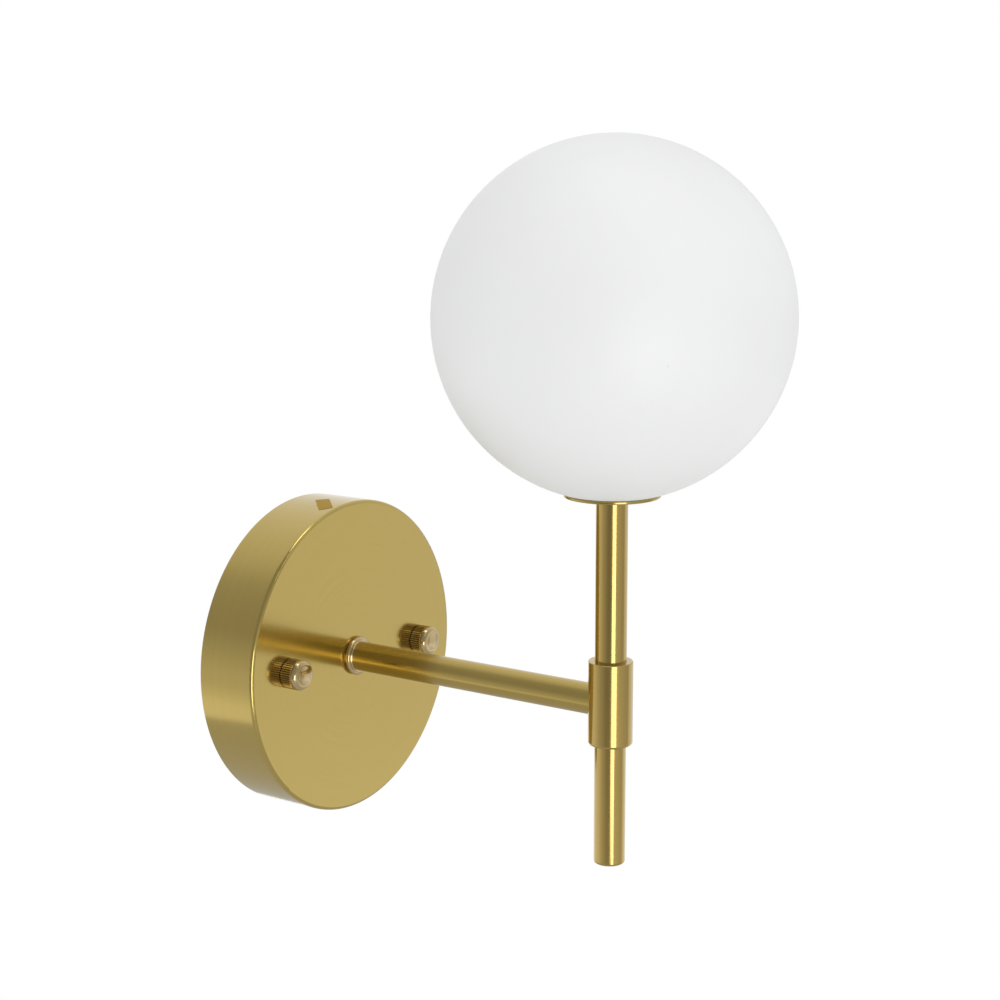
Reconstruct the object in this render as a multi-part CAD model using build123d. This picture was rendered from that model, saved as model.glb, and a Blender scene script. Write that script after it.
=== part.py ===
# Globe wall sconce in satin brass: a canopy on the wall, a level arm, a tee sleeve and an upright stem
# that carries an opal glass globe. Millimetres. The origin is on the wall at the canopy's middle,
# +Y points into the wall, +X to the right seen from the front, and +Z up.
import math
import os
from build123d import *

# Canopy: a drawn cup, open to the wall
canopy_diameter = 145.0
canopy_depth = 30.0
canopy_wall = 1.2
canopy_edge_radius = 1.6        # outside radius of the turned front edge
canopy_inner_radius = 0.6
rim_hole_diameter = 6.5         # plain hole in the canopy's side
rim_hole_turn = 8.0             # degrees from the top towards -X
rim_hole_from_front = 9.5

# Mounting plate, studs and cap nuts
plate_thickness = 1.6
plate_margin = 1.9              # the plate's edge beyond the pads
plate_hole_diameter = 24.0      # the leads pass here
box_spacing_small = 83.3        # screw spacing of a single-gang wall box
box_spacing_large = 88.9        # screw spacing of an octagon wall box
box_slot_width = 4.8
stud_from_edge = 25.0           # a stud's axis from the canopy's side
stud_line_turn = 2.8            # degrees, left stud high: the stud line as it hangs
stud_diameter = 4.0
stud_head_diameter = 8.0
stud_head_height = 2.4
stud_head_radius = 0.8
stud_engagement = 6.0           # how far a stud stands out of the canopy
pad_radius = 6.4                # inside of the raised pad over a stud head, at its top
pad_spread = 1.6                # how much wider the pad is at the plate
pad_height = 3.0
lock_nut_flats = 7.0
lock_nut_height = 3.2
cap_nut_diameter = 13.6
cap_nut_band = 7.4              # length of the knurled band
cap_nut_shoulder_radius = 1.4
cap_nut_dome = 0.8              # rise of the front face above its shoulder
cap_nut_chamfer = 0.5
cap_nut_bore_depth = 7.2
ground_screw_diameter = 4.0
ground_screw_right = 26.0
ground_screw_down = 26.0
ground_head_flats = 7.0
ground_head_height = 2.6
ground_washer_diameter = 9.0
ground_washer_thickness = 0.8

# Hollow threaded rods and what they clamp
nipple_diameter = 10.0
nipple_bore = 7.2
nipple_nut_flats = 14.0
nipple_nut_height = 3.0
lock_washer_diameter = 16.0
lock_washer_thickness = 0.8
lock_washer_teeth = 10
lock_washer_notch = 1.6
lead_bushing_wall = 1.3
lead_bushing_skirt = 3.0
lead_bushing_lip = 1.3
lead_bushing_bore = 6.0
bush_length = 12.0              # threaded bushes in the tube ends
nipple_engagement = 10.0        # thread length in a bush

# Arm
collar_diameter = 18.0
collar_bead = 2.6
collar_bead_radius = 1.2
collar_shoulder_diameter = 15.8
collar_shoulder = 0.8
collar_shoulder_chamfer = 0.4
tube_diameter = 13.5
tube_wall = 1.0
stem_reach = 167.7              # wall to the stem's axis

# Tee sleeve and stem
sleeve_diameter = 19.1
sleeve_length = 36.5
sleeve_lower_radius = 1.2
sleeve_upper_chamfer = 0.3
stem_top = 88.9
stem_bottom = -71.2
end_cap_thickness = 1.6
end_cap_radius = 1.1
end_cap_spigot = 6.0
tee_nipple_stop = 4.4           # the tee nipple's end, from the stem's axis
tee_bush_recess = 1.0           # bush face inside the arm's shaped end

# Globe and the plate under it
globe_diameter = 150.0
globe_wall = 2.5
globe_mouth_diameter = 42.7     # the flat that the glass stands on
neck_bore_diameter = 28.8       # the globe's inward mouth, threaded on the real glass
neck_wall = 3.0
neck_height = 9.0
mouth_edge_radius = 1.0
globe_plate_diameter = 40.8
globe_plate_thickness = 1.3
globe_plate_edge = 0.4
gasket_outer_diameter = 39.0
gasket_inner_diameter = 29.4
gasket_thickness = 0.5

# Lampholder inside the globe
thread_ring_diameter = 27.8
thread_ring_wall = 1.2
thread_ring_height = 9.0
thread_ring_floor = 1.2
holder_diameter = 24.4
holder_height = 20.5
holder_cavity_height = 8.5
holder_cavity_clearance = 0.4
holder_edge = 0.5
base_thickness = 1.0
base_neck_wall = 1.1
base_neck_height = 4.5
nipple_recess = 1.0             # the holder nipple's end below the neck's top
socket_length = 16.6
socket_width = 6.8
socket_depth = 4.0
contact_pitch = 9.0
well_length = 4.4
well_width = 3.6
well_floor = 1.0
contact_strip = 0.3
contact_width = 3.4
contact_gap = 1.5               # between the two springs at their waist
contact_tail = 3.0
contact_tail_width = 1.8
holder_screw_pitch = 17.4
holder_screw_diameter = 3.0
holder_head_diameter = 5.0
holder_head_height = 1.9
holder_head_slot_width = 0.8
holder_head_slot_depth = 0.9
holder_head_recess = 0.2        # screw heads below the ceramic's top

# Two-pin capsule lamp
lamp_diameter = 16.0
lamp_length = 48.0              # block underside to the top of the envelope
lamp_block_length = 15.6
lamp_block_width = 6.0
lamp_block_height = 5.6
lamp_block_radius = 1.5
lamp_base_height = 9.0
lamp_lift = 0.3                 # the lamp's block above the socket floor
lamp_wall = 1.0
lamp_spigot = 2.0
pin_wire_diameter = 0.9
pin_loop_width = 3.0
pin_length = 6.4
pin_root = 2.0                  # wire inside the block

# Clearances
thread_clearance = 0.05         # each side, rods in tapped holes
hole_clearance = 0.2            # each side, rods and screws in plain holes
press_clearance = 0.02          # each side, pieces pushed into tubes
stud_clearance = 0.15           # each side, a cap nut on its stud

# Places worked out from the sizes above; wall distances run along -Y
front_inside = canopy_depth - canopy_wall
stud_spacing = canopy_diameter - 2 * stud_from_edge
plate_diameter = stud_spacing + 2 * (pad_radius + plate_thickness + pad_spread + plate_margin)
collar_front = canopy_depth + collar_bead + collar_shoulder
sleeve_back = stem_reach - sleeve_diameter / 2
tee_bush_end = sleeve_back - tee_bush_recess
plate_top = stem_top + globe_plate_thickness
mouth_height = plate_top + gasket_thickness
mouth_radius = globe_mouth_diameter / 2
globe_centre_height = mouth_height + math.sqrt((globe_diameter / 2) ** 2 - mouth_radius ** 2)
ring_floor_top = plate_top + thread_ring_floor
base_top = ring_floor_top + base_thickness
holder_top = base_top + holder_height
socket_floor = holder_top - socket_depth
cavity_top = base_top + holder_cavity_height
lamp_foot = socket_floor + lamp_lift
tapped_radius = nipple_diameter / 2 + thread_clearance
tube_bore_radius = tube_diameter / 2 - tube_wall
bush_radius = tube_bore_radius - press_clearance
base_neck_radius = tapped_radius + base_neck_wall

low = (Align.CENTER, Align.CENTER, Align.MIN)
out_of_wall = Plane(origin=(0, 0, 0), x_dir=(1, 0, 0), z_dir=(0, -1, 0))
on_stem = Pos(0, -stem_reach, 0)
at_ground_screw = Pos(ground_screw_right, -ground_screw_down, 0)


def ring(outer_radius, inner_radius, start, end):
    # A ring, tube or disc round the Z axis
    body = Cylinder(outer_radius, end - start, align=low)
    if inner_radius > 0:
        body -= Cylinder(inner_radius, end - start, align=low)
    return Pos(0, 0, start) * body


def turned(*lines):
    # A solid of revolution from a closed outline of (radius, height) points and arcs
    outline = [edge for line in lines for edge in (Plane.XZ * line).edges()]
    return revolve(make_face(outline), Axis.Z)


def circles_at(body, radius, height):
    # The circular edges of one radius at one height
    return [edge for edge in body.edges().filter_by(GeomType.CIRCLE)
            if abs(edge.radius - radius) < 0.001 and abs(edge.center().Z - height) < 0.001]


def hexagon_nut(flats, bore_radius, start, height):
    body = extrude(RegularPolygon(flats / 2, 6, major_radius=False), height)
    body -= Cylinder(bore_radius, height, align=low)
    return Pos(0, 0, start) * body


def stud_places():
    # The two studs, left then right, as (x, z) on the canopy
    turn = math.radians(stud_line_turn)
    reach = stud_spacing / 2
    return [(side * reach * math.cos(turn), -side * reach * math.sin(turn)) for side in (-1, 1)]


def at_stud(place, body):
    return out_of_wall * (Pos(place[0], place[1], 0) * body)


# ---- pieces on the wall

def make_mounting_plate():
    body = ring(plate_diameter / 2, plate_hole_diameter / 2, 0, plate_thickness)
    for x, z in stud_places():
        top = pad_radius + plate_thickness
        body += Pos(x, z, 0) * Cone(top + pad_spread, top, pad_height + plate_thickness, align=low)
    for x, z in stud_places():
        body -= Pos(x, z, 0) * Cone(pad_radius + pad_spread, pad_radius, pad_height, align=low)
        body -= Pos(x, z, 0) * Cylinder(stud_diameter / 2 + thread_clearance,
                                        pad_height + plate_thickness, align=low)
    slot_length = (box_spacing_large - box_spacing_small) / 2 + box_slot_width
    slot = Rot(0, 0, 90) * extrude(SlotOverall(slot_length, box_slot_width), plate_thickness)
    for side in (-1, 1):
        body -= Pos(0, side * (box_spacing_small + box_spacing_large) / 4, 0) * slot
    ground_hole_radius = ground_screw_diameter / 2 + thread_clearance
    body -= at_ground_screw * Cylinder(ground_hole_radius, plate_thickness, align=low)
    return out_of_wall * body


def make_stud_screws():
    head = ring(stud_head_diameter / 2, 0, pad_height - stud_head_height, pad_height)
    head = fillet(circles_at(head, stud_head_diameter / 2, pad_height - stud_head_height), stud_head_radius)
    shank = ring(stud_diameter / 2, 0, pad_height, canopy_depth + stud_engagement)
    return Compound([at_stud(place, head + shank) for place in stud_places()])


def make_stud_lock_nuts():
    nut = hexagon_nut(lock_nut_flats, stud_diameter / 2 + thread_clearance,
                      pad_height + plate_thickness, lock_nut_height)
    return Compound([at_stud(place, nut) for place in stud_places()])


def make_ground_screw():
    washer_top = plate_thickness + ground_washer_thickness
    body = ring(ground_screw_diameter / 2, 0, 0, plate_thickness)
    body += ring(ground_washer_diameter / 2, 0, plate_thickness, washer_top)
    head = extrude(RegularPolygon(ground_head_flats / 2, 6, major_radius=False), ground_head_height)
    body += Pos(0, 0, washer_top) * head
    return out_of_wall * (at_ground_screw * body)


def make_canopy():
    outside = ring(canopy_diameter / 2, 0, 0, canopy_depth)
    outside = fillet(circles_at(outside, canopy_diameter / 2, canopy_depth), canopy_edge_radius)
    inner_radius = canopy_diameter / 2 - canopy_wall
    inside = ring(inner_radius, 0, 0, front_inside)
    inside = fillet(circles_at(inside, inner_radius, front_inside), canopy_inner_radius)
    body = outside - inside
    body -= ring(nipple_diameter / 2 + hole_clearance, 0, 0, canopy_depth)
    for x, z in stud_places():
        body -= Pos(x, z, 0) * Cylinder(stud_diameter / 2 + hole_clearance, canopy_depth, align=low)
    drill = Cylinder(rim_hole_diameter / 2, canopy_diameter / 2, align=low)
    drill = Rot(0, 0, rim_hole_turn) * (Rot(-90, 0, 0) * drill)
    body -= Pos(0, 0, canopy_depth - rim_hole_from_front) * drill
    return out_of_wall * body


def make_cap_nut(place):
    radius = cap_nut_diameter / 2
    shoulder = radius - cap_nut_shoulder_radius
    band_end = canopy_depth + cap_nut_band
    turn = cap_nut_shoulder_radius * math.sqrt(0.5)
    dome_start = band_end + cap_nut_shoulder_radius
    dome_top = dome_start + cap_nut_dome
    dome_radius = (shoulder ** 2 + cap_nut_dome ** 2) / (2 * cap_nut_dome)
    dome_middle = dome_top - dome_radius + math.sqrt(dome_radius ** 2 - (shoulder / 2) ** 2)
    bore = stud_diameter / 2 + stud_clearance
    bore_end = canopy_depth + cap_nut_bore_depth
    body = turned(
        Polyline((0, dome_top), (0, bore_end), (bore, bore_end), (bore, canopy_depth),
                 (radius - cap_nut_chamfer, canopy_depth), (radius, canopy_depth + cap_nut_chamfer),
                 (radius, band_end)),
        ThreePointArc((radius, band_end), (shoulder + turn, band_end + turn), (shoulder, dome_start)),
        ThreePointArc((shoulder, dome_start), (shoulder / 2, dome_middle), (0, dome_top)))
    return at_stud(place, body)


# ---- pieces of the arm, from the wall outwards

def make_lead_bushing():
    end = nipple_start()
    rod = nipple_diameter / 2 + press_clearance
    body = ring(rod + lead_bushing_wall, rod, end, end + lead_bushing_skirt)
    body += ring(rod + lead_bushing_wall, lead_bushing_bore / 2, end - lead_bushing_lip, end)
    return out_of_wall * body


def nipple_start():
    # The open end of the rod inside the canopy, clear of the washer, nut and bushing
    stack = lock_washer_thickness + nipple_nut_height + lead_bushing_skirt
    return front_inside - stack


def make_canopy_nipple():
    body = ring(nipple_diameter / 2, nipple_bore / 2, nipple_start(), collar_front + nipple_engagement)
    return out_of_wall * body


def make_canopy_lock_washer():
    body = ring(lock_washer_diameter / 2, tapped_radius, front_inside - lock_washer_thickness, front_inside)
    notch = Pos(lock_washer_diameter / 2, 0, 0) * Cylinder(lock_washer_notch / 2, canopy_depth, align=low)
    for tooth in range(lock_washer_teeth):
        body -= Rot(0, 0, tooth * 360 / lock_washer_teeth) * notch
    return out_of_wall * body


def make_canopy_hex_nut():
    start = front_inside - lock_washer_thickness - nipple_nut_height
    return out_of_wall * hexagon_nut(nipple_nut_flats, tapped_radius, start, nipple_nut_height)


def make_arm_collar():
    bead = ring(collar_diameter / 2, tapped_radius, canopy_depth, canopy_depth + collar_bead)
    edges = circles_at(bead, collar_diameter / 2, canopy_depth)
    edges += circles_at(bead, collar_diameter / 2, canopy_depth + collar_bead)
    bead = fillet(edges, collar_bead_radius)
    shoulder = ring(collar_shoulder_diameter / 2, tapped_radius, canopy_depth + collar_bead, collar_front)
    shoulder = chamfer(circles_at(shoulder, collar_shoulder_diameter / 2, collar_front),
                       collar_shoulder_chamfer)
    return out_of_wall * (bead + shoulder)


def make_arm_tube():
    body = out_of_wall * ring(tube_diameter / 2, tube_bore_radius, collar_front, stem_reach)
    saddle = Cylinder(sleeve_diameter / 2, sleeve_length)
    return body - on_stem * saddle


def make_arm_wall_bush():
    return out_of_wall * ring(bush_radius, tapped_radius, collar_front, collar_front + bush_length)


def make_arm_tee_bush():
    return out_of_wall * ring(bush_radius, tapped_radius, tee_bush_end - bush_length, tee_bush_end)


def make_tee_nipple():
    start = tee_bush_end - nipple_engagement
    return out_of_wall * ring(nipple_diameter / 2, nipple_bore / 2, start, stem_reach - tee_nipple_stop)


# ---- tee sleeve and stem

def side_hole():
    # The tapped way from the arm into the stem
    return out_of_wall * ring(tapped_radius, 0, canopy_depth, stem_reach)


def make_tee_sleeve():
    radius = sleeve_diameter / 2
    half = sleeve_length / 2
    body = ring(radius, tube_diameter / 2 + thread_clearance, -half, half)
    body = fillet(circles_at(body, radius, -half), sleeve_lower_radius)
    body = chamfer(circles_at(body, radius, half), sleeve_upper_chamfer)
    return on_stem * body - side_hole()


def make_stem_tube():
    body = ring(tube_diameter / 2, tube_bore_radius, stem_bottom + end_cap_thickness, stem_top)
    return on_stem * body - side_hole()


def make_stem_end_cap():
    shoulder = stem_bottom + end_cap_thickness
    body = ring(tube_diameter / 2, 0, stem_bottom, shoulder)
    body = fillet(circles_at(body, tube_diameter / 2, stem_bottom), end_cap_radius)
    body += ring(bush_radius, 0, shoulder, shoulder + end_cap_spigot)
    return on_stem * body


def make_stem_top_bush():
    return on_stem * ring(bush_radius, tapped_radius, stem_top - bush_length, stem_top)


def make_holder_nipple():
    return on_stem * ring(nipple_diameter / 2, nipple_bore / 2, stem_top - nipple_engagement,
                          base_top + base_neck_height - nipple_recess)


# ---- globe and its seat

def make_globe_plate():
    radius = globe_plate_diameter / 2
    body = ring(radius, tapped_radius, stem_top, plate_top)
    edges = circles_at(body, radius, stem_top) + circles_at(body, radius, plate_top)
    return on_stem * fillet(edges, globe_plate_edge)


def make_globe_gasket():
    return on_stem * ring(gasket_outer_diameter / 2, gasket_inner_diameter / 2, plate_top, mouth_height)


def make_globe():
    outer = Pos(0, 0, globe_centre_height) * Sphere(globe_diameter / 2)
    inner = Pos(0, 0, globe_centre_height) * Sphere(globe_diameter / 2 - globe_wall)
    neck_radius = neck_bore_diameter / 2 + neck_wall
    floor = mouth_height + globe_wall
    cut = Box(globe_diameter, globe_diameter, globe_diameter, align=low)
    body = outer & (Pos(0, 0, mouth_height) * cut)
    body = fillet(circles_at(body, mouth_radius, mouth_height), mouth_edge_radius)
    body -= inner & (Pos(0, 0, floor) * cut)
    body += ring(neck_radius, 0, mouth_height + globe_wall / 2, mouth_height + neck_height)
    body -= ring(neck_bore_diameter / 2, 0, mouth_height, mouth_height + neck_height)
    return on_stem * body


# ---- lampholder

def make_threaded_ring():
    radius = thread_ring_diameter / 2
    body = ring(radius, 0, plate_top, plate_top + thread_ring_height)
    body -= ring(radius - thread_ring_wall, 0, ring_floor_top, plate_top + thread_ring_height)
    body -= ring(tapped_radius, 0, plate_top, ring_floor_top)
    return on_stem * body


def screw_places():
    return [(0, side * holder_screw_pitch / 2) for side in (-1, 1)]


def make_holder_base():
    body = ring(holder_diameter / 2, 0, ring_floor_top, base_top)
    body += ring(base_neck_radius, 0, base_top, base_top + base_neck_height)
    body -= ring(tapped_radius, 0, ring_floor_top, base_top + base_neck_height)
    for x, y in screw_places():
        body -= Pos(x, y, 0) * ring(holder_screw_diameter / 2 + thread_clearance, 0, ring_floor_top, base_top)
    return on_stem * body


def make_holder_body():
    body = ring(holder_diameter / 2, 0, base_top, holder_top)
    body = fillet(circles_at(body, holder_diameter / 2, holder_top), holder_edge)
    body -= ring(base_neck_radius + holder_cavity_clearance, 0, base_top, cavity_top)
    body -= Pos(0, 0, socket_floor) * Box(socket_length, socket_width, socket_depth, align=low)
    well_foot = cavity_top + well_floor
    for side in (-1, 1):
        x = side * contact_pitch / 2
        body -= Pos(x, 0, well_foot) * Box(well_length, well_width, socket_floor - well_foot, align=low)
        body -= Pos(x, 0, cavity_top) * Box(contact_tail_width + 2 * hole_clearance,
                                            contact_strip + 2 * hole_clearance, well_floor, align=low)
    for x, y in screw_places():
        body -= Pos(x, y, 0) * ring(holder_screw_diameter / 2 + hole_clearance, 0, base_top, holder_top)
        body -= Pos(x, y, 0) * ring(holder_head_diameter / 2 + hole_clearance, 0,
                                    holder_top - holder_head_recess - holder_head_height, holder_top)
    return on_stem * body


def bent_strip(start, end):
    # One straight run of the contact strip, seen edge on, with rounded bends
    run = Vector(*end) - Vector(*start)
    turn = math.degrees(math.atan2(run.Y, run.X))
    centre = Vector(*start) + run / 2
    return Pos(centre.X, centre.Y, 0) * (Rot(0, 0, turn) * SlotCenterToCenter(run.length, contact_strip))


def make_contact():
    # A strip bent to a waisted U, with a tail through the well's floor
    foot = cavity_top + well_floor + contact_strip / 2
    top = socket_floor - contact_strip
    wide = well_width / 2 - contact_strip / 2 - press_clearance
    waist = contact_gap / 2 + contact_strip / 2
    middle = (foot + top) / 2
    bends = [(-wide, top), (-waist, middle), (-wide, foot), (wide, foot), (waist, middle), (wide, top)]
    strip = Sketch()
    for start, end in zip(bends, bends[1:]):
        strip += Plane.YZ * bent_strip(start, end)
    body = extrude(strip, contact_width / 2, both=True)
    tail = Box(contact_tail_width, contact_strip, contact_tail + well_floor, align=low)
    return body + Pos(0, 0, cavity_top - contact_tail) * tail


def make_holder_contacts():
    contact = make_contact()
    return Compound([on_stem * (Pos(side * contact_pitch / 2, 0, 0) * contact) for side in (-1, 1)])


def make_holder_screws():
    head_top = holder_top - holder_head_recess
    head_foot = head_top - holder_head_height
    head = ring(holder_head_diameter / 2, 0, head_foot, head_top)
    slot = Box(holder_head_diameter, holder_head_slot_width, holder_head_height, align=low)
    body = head + ring(holder_screw_diameter / 2, 0, ring_floor_top, head_foot)
    body -= Pos(0, 0, head_top - holder_head_slot_depth) * slot
    return Compound([on_stem * (Pos(x, y, 0) * body) for x, y in screw_places()])


# ---- lamp

def make_lamp_base():
    block_top = lamp_foot + lamp_block_height
    block = Box(lamp_block_length, lamp_block_width, lamp_block_height, align=low)
    block = fillet(block.edges().filter_by(Axis.Z), lamp_block_radius)
    body = Pos(0, 0, lamp_foot) * block
    for x in pin_legs():
        body -= Pos(x, 0, 0) * ring(pin_wire_diameter / 2, 0, lamp_foot, lamp_foot + pin_root)
    body += ring(lamp_diameter / 2, 0, block_top, block_top + lamp_base_height)
    spigot = lamp_diameter / 2 - lamp_wall - press_clearance
    body += ring(spigot, spigot - lamp_wall, block_top + lamp_base_height,
                 block_top + lamp_base_height + lamp_spigot)
    return on_stem * body


def make_lamp_envelope():
    radius = lamp_diameter / 2
    start = lamp_foot + lamp_block_height + lamp_base_height
    top = lamp_foot + lamp_length
    outer = ring(radius, 0, start, top - radius) + Pos(0, 0, top - radius) * Sphere(radius)
    inner = ring(radius - lamp_wall, 0, start, top - radius)
    inner += Pos(0, 0, top - radius) * Sphere(radius - lamp_wall)
    return on_stem * (outer - inner)


def pin_legs():
    # The four wire legs, left loop then right loop
    return [side * contact_pitch / 2 + leg * pin_loop_width / 2 for side in (-1, 1) for leg in (-1, 1)]


def make_lamp_pins():
    bend = pin_loop_width / 2
    low_end = lamp_foot - pin_length + bend
    high_end = lamp_foot + pin_root
    loops = []
    for side in (-1, 1):
        middle = side * contact_pitch / 2
        path = Polyline((middle - bend, high_end), (middle - bend, low_end))
        path += ThreePointArc((middle - bend, low_end), (middle, low_end - bend), (middle + bend, low_end))
        path += Polyline((middle + bend, low_end), (middle + bend, high_end))
        start = Plane(origin=(middle - bend, 0, high_end), z_dir=(0, 0, -1))
        loops.append(on_stem * sweep(start * Circle(pin_wire_diameter / 2), Plane.XZ * path))
    return Compound(loops)


left_stud, right_stud = stud_places()
pieces = {
    "mounting_plate": make_mounting_plate(),
    "stud_screws": make_stud_screws(),
    "stud_lock_nuts": make_stud_lock_nuts(),
    "ground_screw": make_ground_screw(),
    "canopy": make_canopy(),
    "left_cap_nut": make_cap_nut(left_stud),
    "right_cap_nut": make_cap_nut(right_stud),
    "lead_bushing": make_lead_bushing(),
    "canopy_nipple": make_canopy_nipple(),
    "canopy_lock_washer": make_canopy_lock_washer(),
    "canopy_hex_nut": make_canopy_hex_nut(),
    "arm_collar": make_arm_collar(),
    "arm_tube": make_arm_tube(),
    "arm_wall_bush": make_arm_wall_bush(),
    "arm_tee_bush": make_arm_tee_bush(),
    "tee_nipple": make_tee_nipple(),
    "tee_sleeve": make_tee_sleeve(),
    "stem_tube": make_stem_tube(),
    "stem_end_cap": make_stem_end_cap(),
    "stem_top_bush": make_stem_top_bush(),
    "holder_nipple": make_holder_nipple(),
    "globe_plate": make_globe_plate(),
    "globe_gasket": make_globe_gasket(),
    "globe": make_globe(),
    "threaded_ring": make_threaded_ring(),
    "holder_base": make_holder_base(),
    "holder_body": make_holder_body(),
    "holder_contacts": make_holder_contacts(),
    "holder_screws": make_holder_screws(),
    "lamp_base": make_lamp_base(),
    "lamp_envelope": make_lamp_envelope(),
    "lamp_pins": make_lamp_pins(),
}

os.makedirs("parts", exist_ok=True)
for name, shape in pieces.items():
    export_step(shape, f"parts/{name}.step")
    print(name, len(shape.solids()), round(shape.volume, 1))
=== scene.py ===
import math
import bpy
import bmesh
from mathutils import Matrix, Vector


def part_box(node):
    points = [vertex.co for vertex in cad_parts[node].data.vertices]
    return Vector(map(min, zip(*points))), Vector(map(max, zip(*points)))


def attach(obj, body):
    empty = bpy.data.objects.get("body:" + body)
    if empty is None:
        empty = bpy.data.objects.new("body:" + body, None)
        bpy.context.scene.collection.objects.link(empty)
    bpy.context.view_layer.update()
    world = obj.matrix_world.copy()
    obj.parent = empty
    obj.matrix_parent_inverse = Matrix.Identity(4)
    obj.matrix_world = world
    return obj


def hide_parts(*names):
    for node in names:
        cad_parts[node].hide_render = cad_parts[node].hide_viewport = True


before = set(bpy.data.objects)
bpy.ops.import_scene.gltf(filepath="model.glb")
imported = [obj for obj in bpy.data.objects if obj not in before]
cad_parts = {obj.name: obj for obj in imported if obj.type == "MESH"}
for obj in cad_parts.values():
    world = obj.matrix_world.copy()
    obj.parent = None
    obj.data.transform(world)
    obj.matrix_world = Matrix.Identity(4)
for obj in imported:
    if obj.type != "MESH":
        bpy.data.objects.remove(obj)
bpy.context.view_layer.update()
print("frame loaded,", len(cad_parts), "nodes")

# The wall is the plane y = 0, the arm runs along -Y, and the stem stands on this line
stemAxis = Vector((0, -0.1677, 0))
fullTurn = 2 * math.pi


def addObject(name, data):
    made = bpy.data.objects.new(name, data)
    bpy.context.scene.collection.objects.link(made)
    return made


# Camera, at the place that the photograph was taken from
cameraPlace = {
    "azimuth": -55.486,          # degrees round the light, 0 looks straight at the wall
    "elevation": 10.424,
    "roll": -0.145,
    "distance": 0.81753,         # metres from the point it looks at
    "aside": -0.046866,          # that point, from the middle of the tee sleeve
    "above": 0.085838,
    "focalLength": 69.339,       # mm
    "frameWidth": 36,            # mm
    "clip": (0.01, 50),
}


def outward(azimuth, elevation):
    # The direction at an azimuth and an elevation in degrees, where 0 and 0 point straight out of the wall
    turn, rise = math.radians(azimuth), math.radians(elevation)
    return Vector((math.sin(turn) * math.cos(rise), -math.cos(turn) * math.cos(rise), math.sin(rise)))


def cameraAxes(place):
    back = outward(place["azimuth"], place["elevation"])
    level = outward(place["azimuth"] + 90, 0)
    roll = math.radians(place["roll"])
    upright = back.cross(level)
    right = level * math.cos(roll) + upright * math.sin(roll)
    up = upright * math.cos(roll) - level * math.sin(roll)
    return right, up, back


def makeCamera(place):
    right, up, back = cameraAxes(place)
    data = bpy.data.cameras.new("camera")
    data.lens = place["focalLength"]
    data.sensor_width = place["frameWidth"]
    data.clip_start, data.clip_end = place["clip"]
    camera = addObject("camera", data)
    turn = Matrix((right, up, back)).transposed().to_4x4()
    where = stemAxis + right * place["aside"] + up * place["above"] + back * place["distance"]
    camera.matrix_world = Matrix.Translation(where) @ turn
    bpy.context.scene.camera = camera


makeCamera(cameraPlace)
print("camera placed")


# Small helpers for node trees
def addNode(tree, kind, **settings):
    node = tree.nodes.new(kind)
    for key, value in settings.items():
        setattr(node, key, value)
    return node


def feed(tree, socket, value):
    # A socket takes either another socket or a plain number
    if isinstance(value, bpy.types.NodeSocket):
        tree.links.new(value, socket)
    elif value is not None:
        socket.default_value = value


def sums(tree, operation, first, second=None, third=None):
    node = addNode(tree, "ShaderNodeMath", operation=operation)
    for socket, value in zip(node.inputs, (first, second, third)):
        feed(tree, socket, value)
    return node.outputs[0]


def times(tree, first, second):
    return sums(tree, "MULTIPLY", first, second)


def timesPlus(tree, first, second, third):
    return sums(tree, "MULTIPLY_ADD", first, second, third)


def separate(tree, place):
    node = addNode(tree, "ShaderNodeSeparateXYZ")
    feed(tree, node.inputs[0], place)
    return node.outputs


def fromAxis(tree, x, y):
    # Distance from the Z axis
    return sums(tree, "SQRT", sums(tree, "ADD", times(tree, x, x), times(tree, y, y)))


def spread(tree, value, low, high, newLow, newHigh):
    # Maps low to newLow and high to newHigh, held at the ends
    node = addNode(tree, "ShaderNodeMapRange")
    for name, number in (("Value", value), ("From Min", low), ("From Max", high),
                         ("To Min", newLow), ("To Max", newHigh)):
        feed(tree, node.inputs[name], number)
    return node.outputs["Result"]


def blendColours(tree, share, first, second):
    node = addNode(tree, "ShaderNodeMix", data_type="RGBA")
    feed(tree, node.inputs["Factor"], share)
    feed(tree, node.inputs[6], first)       # colour A
    feed(tree, node.inputs[7], second)      # colour B
    return node.outputs[2]


def noise(tree, place, scale, detail=2.0, roughness=0.5):
    node = addNode(tree, "ShaderNodeTexNoise")
    feed(tree, node.inputs["Vector"], place)
    feed(tree, node.inputs["Scale"], scale)
    node.inputs["Detail"].default_value = detail
    node.inputs["Roughness"].default_value = roughness
    return node.outputs[0]


def openGroup(name, takes, gives):
    tree = bpy.data.node_groups.new(name, "ShaderNodeTree")
    for label, kind, value in takes:
        socket = tree.interface.new_socket(label, in_out="INPUT", socket_type=kind)
        if value is not None:
            socket.default_value = value
    for label in gives:
        tree.interface.new_socket(label, in_out="OUTPUT", socket_type="NodeSocketFloat")
    return tree, addNode(tree, "NodeGroupInput"), addNode(tree, "NodeGroupOutput")


# Effects that more than one material uses
def makeBrushGroup():
    # Fine brushing: noise drawn out along the grain
    tree, taken, given = openGroup("brushing", (
        ("Place", "NodeSocketVector", None),
        ("Stretch", "NodeSocketVector", (1, 1, 1))), ("Streak",))
    drawn = addNode(tree, "ShaderNodeVectorMath", operation="MULTIPLY")
    feed(tree, drawn.inputs[0], taken.outputs["Place"])
    feed(tree, drawn.inputs[1], taken.outputs["Stretch"])
    feed(tree, given.inputs["Streak"], noise(tree, drawn.outputs[0], 1.0, detail=4.0, roughness=0.6))
    return tree


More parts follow.
